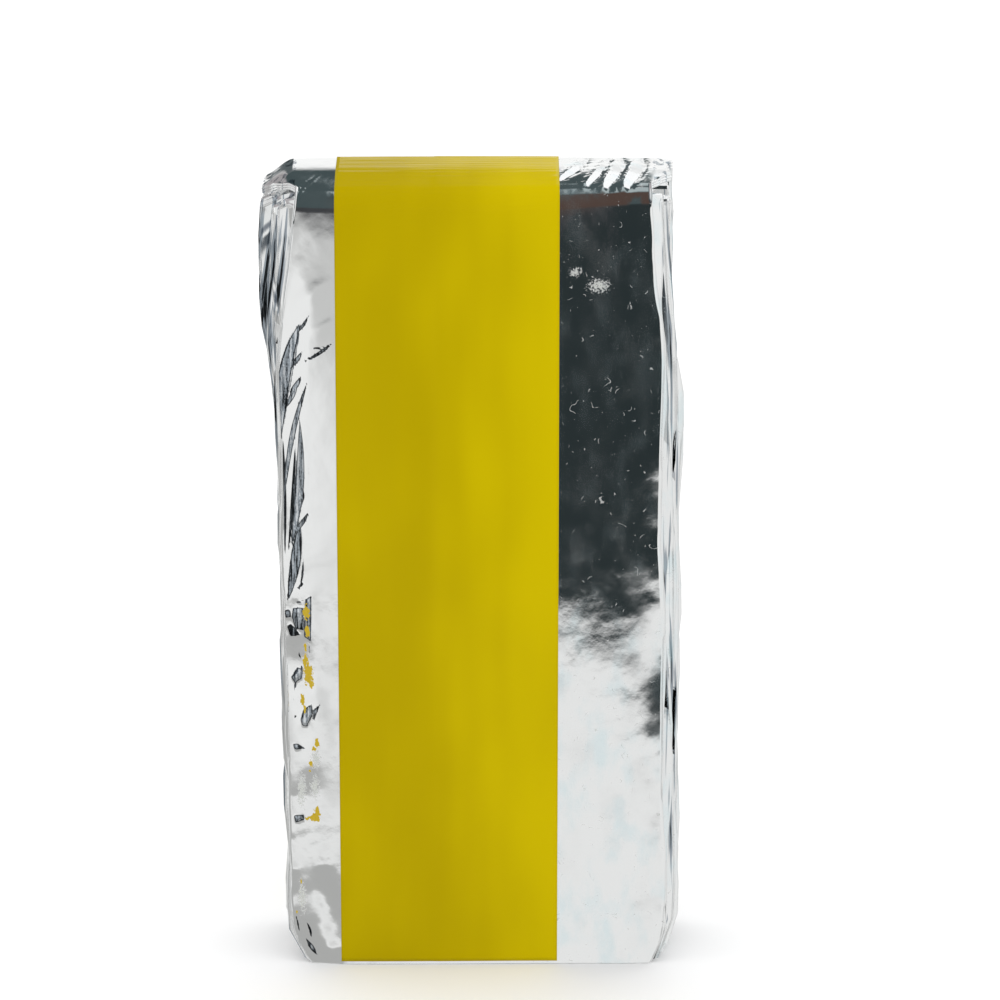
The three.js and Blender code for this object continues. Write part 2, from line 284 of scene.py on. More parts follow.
# Leaf-shaped pleats, each from its low end to its high end: bend to the right, half width, tilt of its
# middle (above 0 faces right, below 0 left or up), and tone of the reflection and shade painted in it,
# from slate at 0 to black at 1
PLEATS = [
    # The large leaf at the left, its tip and its barbs
    ((-41.4, 124.5), (-36.9, 150.4), -1.5, 1.50, 0.10, 0.00),
    ((-40.6, 130.0), (-38.0, 148.0), -0.6, 0.45, -0.10, 0.35),
    ((-38.2, 147.6), (-35.0, 152.2), 0.35, 0.36, 0.12, 0.30),
    ((-39.2, 140.0), (-36.5, 144.0), 0.2, 0.50, 0.12, 0.25),
    ((-39.4, 134.6), (-36.8, 138.3), 0.3, 0.55, 0.12, 0.30),
    ((-40.3, 131.0), (-37.6, 137.4), 0.3, 0.60, -0.10, 0.10),
    ((-36.4, 141.6), (-29.6, 146.4), 0.35, 0.40, 0.0, 0.90),
    ((-34.4, 144.9), (-31.8, 145.3), 0.2, 0.28, 0.0, 0.80),
    # Long thin leaves below it
    ((-40.7, 111.5), (-35.3, 137.6), -0.9, 0.62, 0.10, 0.15),
    ((-39.4, 99.0), (-37.2, 128.4), 0.9, 0.95, 0.10, 0.00),
    ((-38.4, 108.0), (-36.9, 126.0), 0.5, 0.30, -0.12, 0.55),
    ((-37.6, 108.6), (-36.7, 112.6), 0.2, 0.55, 0.20, 0.80),
    ((-39.4, 101.8), (-35.5, 107.6), 0.35, 0.50, 0.15, 0.30),
    ((-40.2, 97.0), (-38.2, 123.8), 0.25, 0.42, 0.12, 1.00),
    ((-40.9, 95.0), (-41.0, 127.0), 0.3, 0.36, 0.12, 0.75),
    ((-41.6, 88.0), (-41.5, 124.0), -0.2, 0.26, 0.10, 0.60),
    ((-40.3, 86.6), (-37.4, 105.0), 0.3, 1.15, 0.10, 0.62),
    ((-37.9, 88.6), (-36.9, 97.2), 0.35, 0.26, 0.12, 0.85),
    ((-38.4, 89.4), (-36.7, 91.0), 0.1, 0.30, -0.12, 0.90),
    # Small ones further down
    ((-38.8, 86.2), (-36.6, 87.2), 0.3, 0.22, -0.12, 0.70),
    ((-37.9, 74.8), (-37.5, 72.8), 0.25, 0.20, 0.10, 0.70),
    ((-37.6, 71.6), (-37.2, 70.4), 0.1, 0.20, 0.10, 0.60),
    ((-39.1, 65.4), (-38.8, 67.8), 0.0, 0.26, 0.10, 0.30),
    ((-39.3, 58.9), (-38.8, 59.6), 0.0, 0.30, 0.10, 0.60),
    ((-36.0, 70.0), (-35.8, 84.0), 0.2, 0.10, 0.10, 0.20),
    ((-36.1, 5.8), (-37.2, 10.2), 0.35, 0.28, 0.12, 0.95),
    ((-38.7, 7.2), (-39.6, 12.0), 0.1, 0.20, 0.10, 0.65),
    ((-34.9, 2.2), (-37.3, 6.0), 0.0, 0.48, 0.10, 0.30),
    ((-34.7, 2.0), (-37.1, 5.2), -0.3, 0.20, 0.10, 1.00),
]

# Small flat facets further down the left, each with the tone of the reflection painted on it, and its
# corners in turn
FACETS = [
    (0.25, [(-36.5, 87.0), (-35.1, 88.0), (-35.3, 77.2), (-36.9, 78.2)]),
    (0.05, [(-39.3, 84.9), (-36.9, 85.1), (-36.9, 79.8), (-38.8, 80.0), (-39.5, 82.7)]),
    (0.90, [(-40.6, 81.0), (-39.7, 81.2), (-37.6, 78.6), (-39.9, 78.1)]),
    (0.35, [(-41.1, 84.6), (-39.7, 84.4), (-39.7, 82.7), (-40.9, 82.9)]),
    (0.10, [(-39.9, 68.5), (-38.3, 70.9), (-37.2, 70.5), (-37.4, 68.3), (-39.0, 67.1)]),
    (0.00, [(-37.9, 58.7), (-37.2, 61.1), (-35.3, 62.5), (-35.1, 60.1), (-36.5, 57.0), (-37.6, 57.2)]),
    (0.20, [(-35.1, 61.1), (-33.3, 62.8), (-34.6, 59.4), (-35.3, 58.2)]),
    (0.30, [(-39.9, 53.6), (-38.6, 52.9), (-36.1, 52.9), (-36.3, 51.9), (-39.3, 51.4)]),
    (0.40, [(-39.7, 35.8), (-37.4, 36.0), (-37.2, 34.8), (-39.3, 33.9)]),
]
FACET_RISE = 0.1
FINGER_BLUNTNESS = 0.35

# Fingers on the top's right slope: low end, high end, bend, half width and tilt
FINGERS = [
    ((18.0, 181.0), (24.8, 199.6), 0.7, 1.70, 0.30),
    ((24.0, 177.9), (29.4, 200.2), 0.8, 1.70, 0.30),
    ((28.2, 177.2), (32.0, 200.4), 0.6, 2.30, 0.30),
    ((32.6, 177.2), (36.4, 200.4), 0.4, 2.40, 0.30),
    # The streak across the top's left slope
    ((-37.4, 177.0), (-32.4, 187.4), 0.2, 0.42, -0.30),
]

# Yellow flecks beside the tape, a painted reflection of the tape in the crumpled film: centre across and
# up, half width and half height
TAPE_REFLECTION_SPOTS = [
    (-36.3, 84.0, 0.75, 1.9),
    (-36.1, 79.6, 0.60, 1.4),
    (-36.6, 75.8, 0.30, 0.9),
    (-36.7, 72.6, 0.50, 2.2),
    (-36.0, 69.6, 0.95, 2.6),
    (-35.4, 67.4, 0.55, 1.2),
    (-37.4, 63.4, 0.42, 1.4),
    (-36.9, 61.2, 0.28, 0.9),
    (-34.3, 53.2, 0.55, 1.1),
    (-35.0, 51.9, 0.50, 0.6),
    (-35.7, 48.2, 0.42, 0.8),
    (-36.0, 46.5, 0.28, 0.5),
    (-34.5, 36.2, 0.75, 1.9),
    (-35.4, 35.3, 1.20, 0.6),
    (-36.8, 35.1, 0.50, 0.4),
    (-39.3, 12.4, 0.22, 0.6),
    (-38.2, 20.0, 0.20, 0.7),
]

# Pale scuffs and dull patches: centre across and up, half width and half height
SCUFFS = [
    (22.0, 160.8, 1.7, 1.4),
    (27.0, 157.5, 3.0, 1.9),
    (33.6, 152.6, 0.5, 1.3),
    (-34.6, 49.6, 1.3, 3.0),
    (-34.9, 43.0, 1.4, 3.4),
    (-37.8, 42.0, 1.3, 5.0),
    (-38.0, 16.0, 1.2, 5.0),
]

# The film eases back just below the front shoulder
EASE_START = 168.0
EASE_FULL = 177.0
EASE_END = 190.0
EASE_DEPTH = 0.28

# The edge of a panel that shows beneath the tape: place across and height
PANEL_EDGE = {"x": -8.5, "step": 0.07, "run": 0.5}

# Crumpling: folded waves of these lengths and heights in seeded directions, bent by slow sines
CRUMPLE_WAVES = [(31.0, 0.16), (23.0, 0.12), (17.0, 0.09), (12.0, 0.06), (8.0, 0.035), (5.5, 0.02)]
CRUMPLE_BEND = 2.5
CRUMPLE_FACE = 0.1
CRUMPLE_EDGE = 0.5
CRUMPLE_EDGE_RUN = 5.0
CRUMPLE_SEED = 5
# It fades to a share over the top, and grows again past the back shoulder
CRUMPLE_TOP = {"share": 0.12, "from": 174.0, "to": 179.0}
CRUMPLE_BACK = {"rise": 0.8, "from": 206.0, "to": 214.0}

# Share of the painted streaks of shade and reflection beyond the cover's edges, which grows up the left
# side and fades at its top
STREAK_RIGHT = 0.3
STREAK_LEFT_LOW = 0.35
STREAK_GROWS = (104.0, 128.0)
STREAK_FADES = (175.0, 169.0)


def crease_frame(x, up, start, end):
    """Share along a crease and distance to its right, for each place."""
    run_x, run_up = end[0] - start[0], end[1] - start[1]
    length = math.hypot(run_x, run_up)
    along = ((x - start[0]) * run_x + (up - start[1]) * run_up) / length**2
    aside = ((x - start[0]) * run_up - (up - start[1]) * run_x) / length
    return along, aside


def fade(along):
    return np.sin(math.pi * np.clip(along, 0.0, 1.0))


def leaf_frame(x, up, start, end, bend, width, bluntness=0.8):
    """Distance from the middle line of a leaf, and its half width, at each place."""
    along, aside = crease_frame(x, up, start, end)
    return aside - bend * fade(along), width * fade(along) ** bluntness


def pleat(x, up, start, end, bend, width, tilt, bluntness=0.8):
    """A tilted facet between two steep rims, pointed at both ends."""
    aside, half = leaf_frame(x, up, start, end, bend, width, bluntness)
    half = np.maximum(1e-3, half)
    across = np.clip(aside / half, -1.0, 1.0)
    return -tilt * half * across * (1.0 - across**6)


def leaf_field(x, up):
    """How far each place lies inside the nearest pleat in millimetres, and its painted reflection's tone."""
    field = np.full_like(x, -2.0)
    tone = np.zeros_like(x)
    for start, end, bend, width, _, reflected_darkness in PLEATS:
        aside, half = leaf_frame(x, up, start, end, bend, width)
        inside = half - np.abs(aside)
        nearest = inside > field
        field = np.where(nearest, inside, field)
        tone = np.where(nearest, reflected_darkness, tone)
    for reflected_darkness, corners in FACETS:
        inside = facet_field(x, up, corners)
        nearest = inside > field
        field = np.where(nearest, inside, field)
        tone = np.where(nearest, reflected_darkness, tone)
    return field, tone


def facet_field(x, up, corners):
    """How far each place lies inside a facet with convex corners given clockwise, in millimetres."""
    field = np.full_like(x, 9.0)
    for start, end in zip(corners, corners[1:] + corners[:1]):
        _, aside = crease_frame(x, up, start, end)
        field = np.minimum(field, aside)
    return field


def spot_field(x, up, spots):
    """1 at the centre of a spot, 0 on its rim and below 0 outside."""
    field = np.full_like(x, -1.0)
    for across, height, half_width, half_height in spots:
        distance = np.hypot((x - across) / half_width, (up - height) / half_height)
        field = np.maximum(field, 1.0 - distance)
    return field


def crumple(x, up, seed):
    """Flat facets between sharp creases, from folded waves in all directions."""
    random = np.random.default_rng(seed)
    height = np.zeros_like(x)
    for length, rise in CRUMPLE_WAVES:
        for _ in range(2):
            angle, phase, turn = random.uniform(0.0, 2.0 * math.pi, 3)
            aside = -math.sin(angle) * x + math.cos(angle) * up
            ahead = math.cos(angle) * x + math.sin(angle) * up
            ahead = ahead + CRUMPLE_BEND * np.sin(2.0 * math.pi * aside / (2.3 * length) + turn)
            saw = (ahead / length + phase) % 1.0
            height += rise * (np.abs(2.0 * saw - 1.0) - 0.5)
    return height


def relief(x, up, left, right):
    """Height of the cover's outer face over its plain form; left and right are how far it reaches."""
    height = np.zeros_like(x)
    for start, end, width, rise in SOFT_CREASES:
        along, aside = crease_frame(x, up, start, end)
        height += rise * fade(along) * np.exp(-(aside / width) ** 2)
    for start, end, bend, width, tilt, _ in PLEATS:
        height += pleat(x, up, start, end, bend, width, tilt)
    for row in FINGERS:
        height += pleat(x, up, *row, bluntness=FINGER_BLUNTNESS)
    for _, corners in FACETS:
        height += FACET_RISE * smoothstep(facet_field(x, up, corners), 0.0, 0.5)
    eased = np.clip((up - EASE_START) / (EASE_FULL - EASE_START), 0.0, 1.0) ** 2
    height -= EASE_DEPTH * eased * (1.0 - smoothstep(up, EASE_FULL, EASE_END))
    height += PANEL_EDGE["step"] * smoothstep(x, PANEL_EDGE["x"], PANEL_EDGE["x"] + PANEL_EDGE["run"])
    from_edge = np.minimum(x + left, right - x)
    strength = CRUMPLE_FACE + CRUMPLE_EDGE * np.exp(-from_edge / CRUMPLE_EDGE_RUN)
    over_top = smoothstep(up, CRUMPLE_TOP["from"], CRUMPLE_TOP["to"])
    strength = strength * lerp(1.0, CRUMPLE_TOP["share"], over_top)
    past_back = smoothstep(up, CRUMPLE_BACK["from"], CRUMPLE_BACK["to"])
    strength = strength + CRUMPLE_BACK["rise"] * past_back
    return height + strength * crumple(x, up, CRUMPLE_SEED)


def place(steps, x, offset):
    """World place in metres of a point at x across and at a distance outside the middle line."""
    y = steps["y"][:, None] + offset * steps["dz"][:, None]
    z = np.maximum(0.0, steps["z"][:, None] - offset * steps["dy"][:, None])
    return np.stack(settle(x, y, z), axis=-1) * MM


def reach(steps, side, z):
    """The edge passes from layer to layer, and over the top it reaches as far as each layer below it."""
    layer = lerp(steps["from"], steps["to"], steps["share"])[:, None]
    first = np.floor(layer).astype(int)
    second = np.ceil(layer).astype(int)
    return lerp(one_layer_reach(first, side, z), one_layer_reach(second, side, z), layer - first)


def closed_mesh(name, rings, coarse_rings=0, kept=None):
    """A tube of rings, each closed on itself, with a face at both ends. The first rings may be coarse, with
    only the kept points of each, and then a row of many-sided faces joins them to the fine ones."""
    count, around = rings.shape[:2]
    shown = np.ones((count, around), bool)
    if coarse_rings:
        shown[:coarse_rings] = kept
    index = np.where(shown, np.cumsum(shown).reshape(count, around) - 1, -1)

    def quads(block):
        ahead = np.roll(block, -1, axis=1)
        return np.stack([block[:-1], ahead[:-1], ahead[1:], block[1:]], axis=-1).reshape(-1, 4).tolist()

    faces = quads(index[coarse_rings:])
    first_ring = index[0]
    if coarse_rings:
        first_ring = index[0][kept]
        faces += quads(index[:coarse_rings][:, kept])
        stops = np.flatnonzero(kept)
        for start, end in zip(stops, np.append(stops[1:], stops[0] + around)):
            fine = index[coarse_rings][np.arange(end, start - 1, -1) % around].tolist()
            coarse = index[coarse_rings - 1]
            faces.append([int(coarse[start]), int(coarse[end % around])] + fine)
    faces += [first_ring[::-1].tolist(), index[-1].tolist()]
    mesh = bpy.data.meshes.new(name)
    mesh.from_pydata(rings[shown].tolist(), [], faces)
    mesh.validate()
    mesh.polygons.foreach_set("use_smooth", [True] * len(mesh.polygons))
    mesh.update()
    piece = bpy.data.objects.new(name, mesh)
    bpy.context.scene.collection.objects.link(piece)
    return piece, shown


def paint(piece, shown, **fields):
    """Puts one number for each point of the mesh in named attributes that its material reads."""
    for name, values in fields.items():
        layer = piece.data.attributes.new(name, "FLOAT", "POINT")
        layer.data.foreach_set("value", values[shown].astype(np.float32))


def film_piece():
    steps = film_path()
    z_middle = steps["z"][:, None]
    left = reach(steps, "left", z_middle)
    right = reach(steps, "right", z_middle)
    along = steps["along"][:, None]
    left = left + wobble(along, *EDGE_WOBBLE["left"])
    right = right + wobble(along, *EDGE_WOBBLE["right"])
    pinch = EDGE_PINCH + wobble(along, *EDGE_WOBBLE["pinch"])
    shift = wobble(along, *EDGE_WOBBLE["shift"])
    calm = lerp(1.0, PLY_CALM["share"], smoothstep(z_middle, PLY_CALM["from"], PLY_CALM["to"]))

    # One ring: the outer face left to right, the right plies, the inner face, the left plies
    fine_left = np.arange(0.0, LEFT_FINE, LEFT_STEP)
    fine_right = np.arange(RIGHT_FINE, 0.0, -RIGHT_STEP)
    middle = np.linspace(0.0, 1.0, COARSE_LINES + 1)
    x_left = -left + PLY_ROUND + fine_left
    x_right = right - PLY_ROUND - fine_right
    x_middle = lerp(-left + PLY_ROUND + LEFT_FINE, right - PLY_ROUND - RIGHT_FINE, middle[None, :-1])
    x_outer = np.concatenate([x_left, x_middle, x_right, right - PLY_ROUND], axis=1)
    x_inner = lerp(right - PLY_ROUND, -left + PLY_ROUND, np.linspace(0.0, 1.0, INNER_LINES + 1)[None, :])

    half = FILM_THICKNESS / 2

    def edge_offset(x, face):
        near = 1 - smoothstep(np.minimum(x + left, right - x), 0.0, EDGE_PINCH_RUN)
        return shift * near + face * half * lerp(1.0, pinch, near)

    def plies(side_reach, sign, seed):
        """Down one edge from the outer face to the inner face, or up it where sign is -1."""
        places, offsets = [], []
        order = range(PLY_COUNT) if sign > 0 else range(PLY_COUNT - 1, -1, -1)
        for ply in order:
            tip = side_reach + calm * wobble(along, seed + ply, PLY_WAVES)
            top = 1 - 2 * ply / PLY_COUNT
            low = 1 - 2 * (ply + 1) / PLY_COUNT
            centre = (top + low) / 2
            swing = (top - low) / 2
            stops = [(0.8, -PLY_ROUND), (0.35, -0.08), (-0.35, -0.08), (-0.8, -PLY_ROUND)]
            groove = [(-1.0, -PLY_GROOVE * calm)]
            if sign < 0:
                stops = [(-a, b) for a, b in stops]
                groove = [(1.0, -PLY_GROOVE * calm)]
            last = ply == (PLY_COUNT - 1 if sign > 0 else 0)
            for share, inset in stops + ([] if last else groove):
                places.append(sign * (tip + inset))
                offsets.append(shift + (centre + share * swing) * half * pinch)
        return np.concatenate(places, axis=1), np.concatenate(offsets, axis=1)

    x_right_ply, n_right_ply = plies(right, 1, PLY_SEEDS["right"])
    x_left_ply, n_left_ply = plies(left, -1, PLY_SEEDS["left"])
    cover_up = np.broadcast_to(steps["cover"][:, None], x_outer.shape)
    bumps = np.where(cover_up >= 0.0, relief(x_outer, cover_up, left, right), 0.0)
    n_outer = edge_offset(x_outer, 1.0) + bumps
    n_inner = edge_offset(x_inner, -1.0)
    x = np.concatenate([x_outer, x_right_ply, x_inner, x_left_ply], axis=1)
    offset = np.concatenate([n_outer, n_right_ply, n_inner, n_left_ply], axis=1)

    # The layers inside show only their edges, so their faces are coarse
    kept = np.ones(x.shape[1], bool)
    kept[RIM_POINTS:x_outer.shape[1] - RIM_POINTS] = False
    kept[KEPT_MARGIN:x_outer.shape[1] - KEPT_MARGIN:KEPT_EVERY] = True
    inner = x_outer.shape[1] + x_right_ply.shape[1]
    kept[inner + RIM_POINTS:inner + x_inner.shape[1] - RIM_POINTS] = False
    coarse_rings = int(np.argmax(steps["cover"] >= 0.0)) - 1
    piece, shown = closed_mesh("film_bundle", place(steps, x, offset), coarse_rings, kept)

    # Fields for the material: painted reflection and shade in the pleats, yellow flecks that are a painted
    # reflection of the tape, and scuffs on the outer face, and painted streaks of shade and reflection beyond
    # its edges
    outer = np.zeros(x.shape, bool)
    outer[:, :x_outer.shape[1]] = cover_up >= 0.0
    up = np.broadcast_to(steps["cover"][:, None], x.shape)
    leaf, tone = leaf_field(x, up)
    z = np.broadcast_to(z_middle, x.shape)
    past_left = -x - one_layer_reach(0, "left", z)
    past_right = x - one_layer_reach(0, "right", z)
    grown = smoothstep(z, *STREAK_GROWS) * smoothstep(z, *STREAK_FADES)
    paint(
        piece,
        shown,
        leaf=np.where(outer, leaf, -2.0),
        tone=tone,
        fleck=np.where(outer, spot_field(x, up, TAPE_REFLECTION_SPOTS), -1.0),
        scuff=np.where(outer, spot_field(x, up, SCUFFS), -1.0),
        past=np.where(x < 0, past_left, past_right),
        streak=np.where(x < 0, lerp(STREAK_LEFT_LOW, 1.0, grown), STREAK_RIGHT),
    )
    return piece, steps


film, film_steps = film_piece()
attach(film, "root")
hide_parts("foil_bag")


def tape_piece():
    outside = FILM_THICKNESS / 2
    path = SheetPath(layer_y(LAYER_COUNT - 1) + outside, TAPE_FOOT_GAP, 0.0, 1.0, LAYER_COUNT - 1)
    steps = cover_path(path, outside, TAPE_FOOT_GAP, **TAPE_STEPS)
    lines = np.linspace(-1, 1, TAPE_LINES)[None, :]
    x = np.broadcast_to(TAPE_CENTRE + lines * TAPE_WIDTH / 2, (len(steps["y"]), TAPE_LINES))
    z_middle = steps["z"][:, None]
    up = np.broadcast_to(steps["cover"][:, None], x.shape)
    under = relief(x, up, reach(steps, "left", z_middle), reach(steps, "right", z_middle)) + TAPE_GAP
    over = under + TAPE_THICKNESS
    rings_x = np.concatenate([x, x[:, ::-1]], axis=1)
    rings_n = np.concatenate([over, under[:, ::-1]], axis=1)
    piece, shown = closed_mesh("tape", place(steps, rings_x, rings_n))
    ups = np.broadcast_to(steps["cover"][:, None], rings_x.shape)
    paint(piece, shown, across=(rings_x - TAPE_CENTRE) / TAPE_WIDTH, up=ups)
    return piece, steps


tape, tape_steps = tape_piece()
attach(tape, "root")
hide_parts("seam_tape")


# Materials


class Graph:
    """Adds shader nodes and links them in short calls."""

    def __init__(self, tree):
        self.tree = tree

    def add(self, kind, inputs=(), **settings):
        node = self.tree.nodes.new(kind)
        for name, value in settings.items():
            setattr(node, name, value)
        for key, value in dict(inputs).items():
            self.feed(node.inputs[key], value)
        return node

    def feed(self, socket, value):
        if isinstance(value, bpy.types.NodeSocket):
            self.tree.links.new(value, socket)
        elif value is not None:
            socket.default_value = value

    def math(self, operation, *values):
        return self.add("ShaderNodeMath", enumerate(values), operation=operation).outputs[0]

    def times(self, value, factor):
        return self.math("MULTIPLY", value, factor)

    def swing(self, noise, size):
        """Noise round a half, turned into a swing round 0."""
        return self.times(self.math("SUBTRACT", noise, 0.5), size)

    def step(self, value, low, high):
        """0 below low, 1 above high, and smooth between."""
        inputs = {"Value": value, "From Min": low, "From Max": high}
        return self.add("ShaderNodeMapRange", inputs, interpolation_type="SMOOTHSTEP").outputs["Result"]

    def mix(self, factor, first, second):
        node = self.add("ShaderNodeMix", data_type="RGBA")
        colours = [socket for socket in node.inputs if socket.type == "RGBA"]
        self.feed(node.inputs[0], factor)
        self.feed(colours[0], (*first, 1.0) if isinstance(first, tuple) else first)
        self.feed(colours[1], (*second, 1.0) if isinstance(second, tuple) else second)
        return [socket for socket in node.outputs if socket.type == "RGBA"][0]


def principled(name):
    material = bpy.data.materials.new(name)
    material.use_nodes = True
    return material, material.node_tree.nodes["Principled BSDF"]


class Surface(Graph):
    """A material's graph, with noise and attributes in millimetres."""

    def __init__(self, name):
        material, self.shader = principled(name)
        self.material = material
        super().__init__(material.node_tree)
        self.place = self.add("ShaderNodeTexCoord").outputs["Object"]

    def field(self, name):
        return self.add("ShaderNodeAttribute", attribute_name=name).outputs["Fac"]

    def noise(self, x_size, y_size, z_size, detail=2.0, where=None, offset=0.0):
        """Soft noise with spots of these sizes in millimetres."""
        unit = 1.0 / MM if where is None else 1.0
        scale = (unit / x_size, unit / y_size, unit / z_size)
        inputs = {"Vector": where or self.place, "Location": (offset, offset, offset), "Scale": scale}
        vector = self.add("ShaderNodeMapping", inputs).outputs[0]
        return self.add("ShaderNodeTexNoise", {"Vector": vector, "Scale": 1.0, "Detail": detail}).outputs[0]

    def vector(self, x, y, z):
        return self.add("ShaderNodeCombineXYZ", {0: x, 1: y, 2: z}).outputs[0]

    def bump(self, height, strength, distance, normal=None):
        inputs = {"Height": height, "Strength": strength, "Distance": distance, "Normal": normal}
        return self.add("ShaderNodeBump", inputs).outputs[0]


# Film colours. Slate, black and the pale leaf colour are painted reflection and shade in the pleats and
# streaks
FILM_COLOUR = (0.87, 0.88, 0.885)
SLATE_REFLECTION = (0.34, 0.38, 0.42)
LEAF_PALE_REFLECTION = (0.66, 0.69, 0.72)
CLOUD_COLOUR = (0.50, 0.75, 0.82)
SHADE_BLACK = (0.015, 0.018, 0.02)
# The tape's yellow, painted on the film as its reflection
TAPE_REFLECTION_COLOUR = (0.45, 0.315, 0.002)
SCUFF_COLOUR = (0.44, 0.46, 0.42)
# Heights of the crinkles that are bumps in the material
CRINKLE_COARSE = 0.04
CRINKLE_FINE = 0.006


def film_surface():
    graph = Surface("metallised_film")
    x, y, z = graph.add("ShaderNodeSeparateXYZ", {0: graph.place}).outputs
    ragged = graph.math("SUBTRACT", graph.noise(0.5, 0.5, 0.7, 3.0), 0.5)
    # The pleats higher up have smooth outlines
    low_down = graph.times(graph.step(z, 0.1, 0.09), 0.2)
    torn = graph.times(ragged, graph.math("ADD", 0.05, low_down))

    # Pleats, with painted reflection and shade on the folds: a black outline round a slate leaf with streaks
    # along it, and pale where it mirrors light
    leaf = graph.math("ADD", graph.field("leaf"), torn)
    inside = graph.step(leaf, -0.02, 0.06)
    rim = graph.math("SUBTRACT", inside, graph.step(leaf, 0.17, 0.30))
    grain = graph.noise(0.42, 0.42, 6.0, 3.0)
    grit = graph.noise(0.25, 0.25, 0.5, 2.0)
    grain_swing = graph.times(graph.math("SUBTRACT", 0.5, grain), 5.0)
    tone = graph.math("ADD", graph.field("tone"), graph.math("ADD", grain_swing, graph.swing(grit, 1.6)))
    interior = graph.mix(graph.step(tone, 0.15, 0.9), SLATE_REFLECTION, SHADE_BLACK)
    interior = graph.mix(graph.step(tone, -0.15, -0.45), interior, LEAF_PALE_REFLECTION)
    interior = graph.mix(graph.times(rim, 0.8), interior, SHADE_BLACK)
    colour = graph.mix(inside, FILM_COLOUR, interior)

    # Painted streaks of shade and reflection along the edges of the layers that stand out beyond the cover
    past = graph.field("past")
    depth = graph.times(y, 1.0 / MM)
    height = graph.times(z, 1.0 / MM)
    lens = graph.noise(1.15, 2.6, 34.0, 3.0, graph.vector(past, depth, height))
    fewer = graph.times(graph.math("SUBTRACT", 1.0, graph.field("streak")), 0.13)
    level = graph.math("ADD", lens, fewer)
    streak_shade = graph.mix(graph.step(level, 0.56, 0.5), FILM_COLOUR, SLATE_REFLECTION)
    streak_shade = graph.mix(graph.step(level, 0.435, 0.41), streak_shade, SHADE_BLACK)
    colour = graph.mix(graph.step(past, 0.2, 0.6), colour, streak_shade)

    # Yellow flecks, a painted reflection of the tape, and scuffs
    fleck = graph.math("ADD", graph.field("fleck"), graph.times(ragged, 2.2))
    fleck = graph.step(fleck, 0.0, 0.12)
    scuff = graph.math("ADD", graph.field("scuff"), graph.swing(graph.noise(0.5, 0.5, 0.5, 4.0), 3.0))
    scuff = graph.times(graph.step(scuff, 0.1, 0.9), graph.step(graph.field("scuff"), -0.4, 0.3))

    # Fine scratches and specks
    curl = graph.noise(3.1, 3.1, 3.1, 1.0, offset=7.0)
    scratch = graph.step(graph.math("ABSOLUTE", graph.math("SUBTRACT", curl, 0.5)), 0.012, 0.005)
    scratch = graph.times(scratch, graph.step(graph.noise(2.2, 2.2, 2.2, 1.0, offset=3.0), 0.62, 0.68))
    speck = graph.step(graph.noise(0.34, 0.34, 0.34, 0.0, offset=11.0), 0.82, 0.88)
    wear = graph.math("MAXIMUM", graph.times(scratch, 0.42), graph.times(speck, 0.4))
    wear = graph.times(wear, graph.step(x, 0.0, 0.02))
    # Faint clouds, on the right only
    cloud = graph.step(graph.noise(5.0, 5.0, 9.0, 4.0, offset=5.0), 0.45, 0.75)
    cloud = graph.times(cloud, graph.step(x, 0.0, 0.02))
    dull = graph.math("MAXIMUM", graph.times(scuff, 0.7), wear)

    colour = graph.mix(graph.times(cloud, 0.3), colour, CLOUD_COLOUR)
    colour = graph.mix(dull, colour, SCUFF_COLOUR)
    colour = graph.mix(fleck, colour, TAPE_REFLECTION_COLOUR)
    matt = graph.math("MAXIMUM", graph.math("MAXIMUM", dull, fleck), graph.times(cloud, 0.025))
    graph.feed(graph.shader.inputs["Base Color"], colour)
    graph.feed(graph.shader.inputs["Metallic"], graph.math("SUBTRACT", 1.0, matt))
    haze = graph.times(graph.step(graph.noise(6.0, 6.0, 9.0), 0.4, 0.7), 0.05)
    rough = graph.math("ADD", graph.times(matt, 0.3), graph.math("ADD", haze, 0.06))
    graph.feed(graph.shader.inputs["Roughness"], rough)

    # Crinkles
    coarse = graph.bump(graph.noise(5.0, 5.0, 7.0), 1.0, CRINKLE_COARSE * MM)
    fine = graph.bump(graph.noise(1.1, 1.1, 1.3, 3.0), 1.0, CRINKLE_FINE * MM, coarse)
    graph.feed(graph.shader.inputs["Normal"], fine)
    return graph.material


TAPE_COLOUR = (0.50, 0.385, 0.0)
# The tape's colour where shade is painted on it, towards its left
TAPE_SHADE = (0.38, 0.285, 0.0)
TAPE_RIPPLE = 0.2
TAPE_SLOW = 0.05


def tape_surface():
    graph = Surface("yellow_tape")
    across = graph.field("across")
    up = graph.field("up")
    on_tape = graph.vector(graph.times(across, TAPE_WIDTH), up, 0.0)
    patches = graph.noise(19.0, 42.0, 1.0, 1.0, on_tape)
    bands = graph.noise(7.0, 60.0, 1.0, 1.0, on_tape, 5.0)
    # Painted shade: the tape is darker towards its left, with random patches and bands
    share = graph.math("ADD", graph.step(across, -0.3, 0.5), graph.swing(patches, 1.6))
    share = graph.math("ADD", share, graph.swing(bands, 0.5))
    colour = graph.mix(graph.step(share, -0.2, 1.2), TAPE_SHADE, TAPE_COLOUR)
    graph.feed(graph.shader.inputs["Base Color"], colour)
    graph.shader.inputs["Roughness"].default_value = 0.16
    graph.shader.inputs["Specular IOR Level"].default_value = 0.03
    # Ripples across the tape, stronger where it turns over the shoulder
    ripple = graph.noise(26.0, 1.7, 1.0, 1.0, on_tape, 2.0)
    near = graph.math("ADD", graph.times(graph.step(up, 168.0, 178.0), 0.9), 0.1)
    slow = graph.bump(graph.noise(9.0, 16.0, 1.0, 2.0, on_tape), 1.0, TAPE_SLOW * MM)
    bumps = graph.bump(graph.times(ripple, near), 1.0, TAPE_RIPPLE * MM, slow)
    graph.feed(graph.shader.inputs["Normal"], bumps)
    return graph.material


film.data.materials.append(film_surface())
tape.data.materials.append(tape_surface())


# Floor, camera and light


